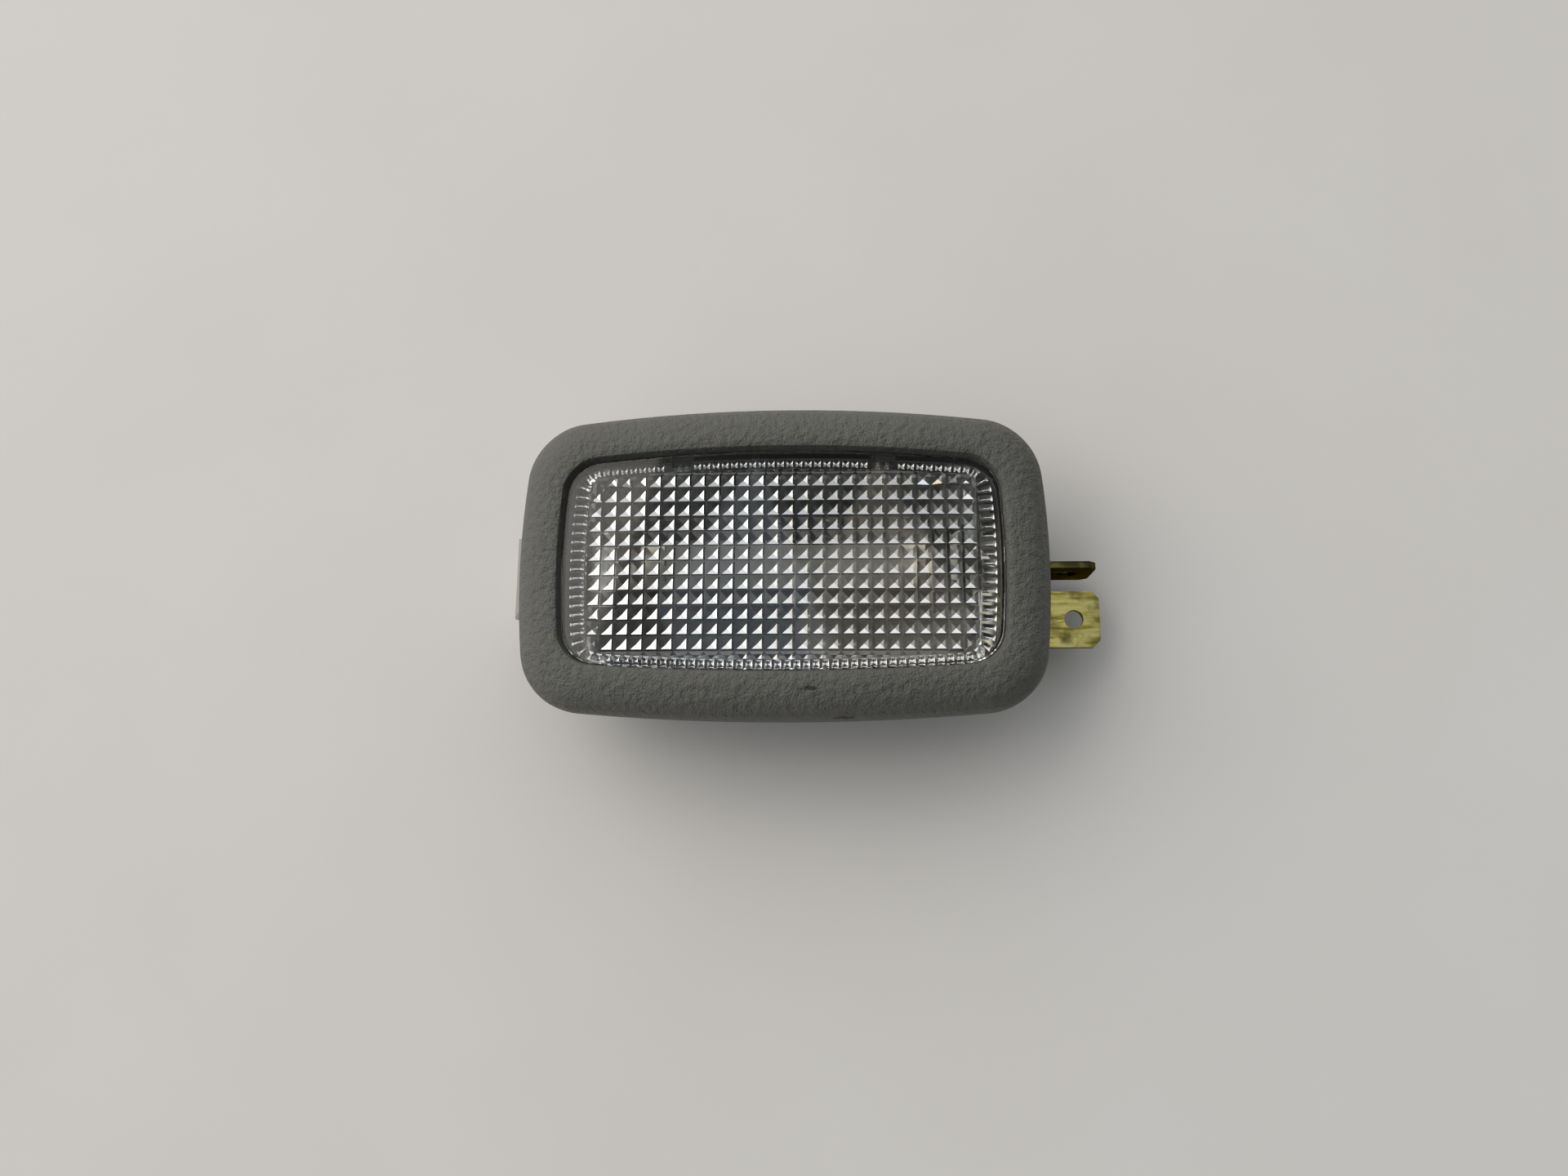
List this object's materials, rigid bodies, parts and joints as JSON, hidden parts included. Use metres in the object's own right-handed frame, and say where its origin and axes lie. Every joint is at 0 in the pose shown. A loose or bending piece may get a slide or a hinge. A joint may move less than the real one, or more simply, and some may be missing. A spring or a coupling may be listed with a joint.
{
  "type": "sun visor light",
  "caption": "Small rectangular snap-in car vanity lamp: grey rounded bezel, clear prism lens, festoon bulb over a reflector, brass blade terminals and a sprung retaining clip.",
  "frame": {"origin": "middle of the flat back of the rear cover", "axes": "+Z out of the lens, +X along the length towards the blade terminals, +Y towards the lens's snap tabs"},
  "size_m": [0.0653, 0.0336, 0.017],
  "materials": {
    "grey_abs": "fine moulded grain",
    "clear_acrylic": "clear, moulded prisms",
    "white_plastic": "plain moulded",
    "bright_aluminium": "bright pressed sheet",
    "brass_sheet": "stamped sheet, scratched",
    "bulb_glass": "clear glass with metal caps",
    "spring_steel": "plain spring strip"
  },
  "bodies": {
    "lamp": {"bezel_frame": "grey_abs", "lens": "clear_acrylic", "rear_cover": "white_plastic", "reflector": "bright_aluminium", "contact_flat": "brass_sheet", "contact_upright": "brass_sheet", "festoon_bulb": "bulb_glass"},
    "clip": {"retaining_clip": "spring_steel"}
  },
  "joints": [
    {"name": "clip_flex", "type": "hinge", "parent": "lamp", "child": "clip", "pos_m": [-0.02635, 0, 0.0016], "axis": [0, 1, 0], "range_deg": [0, 20], "stiffness_Nm_per_rad": 0.2}
  ]
}
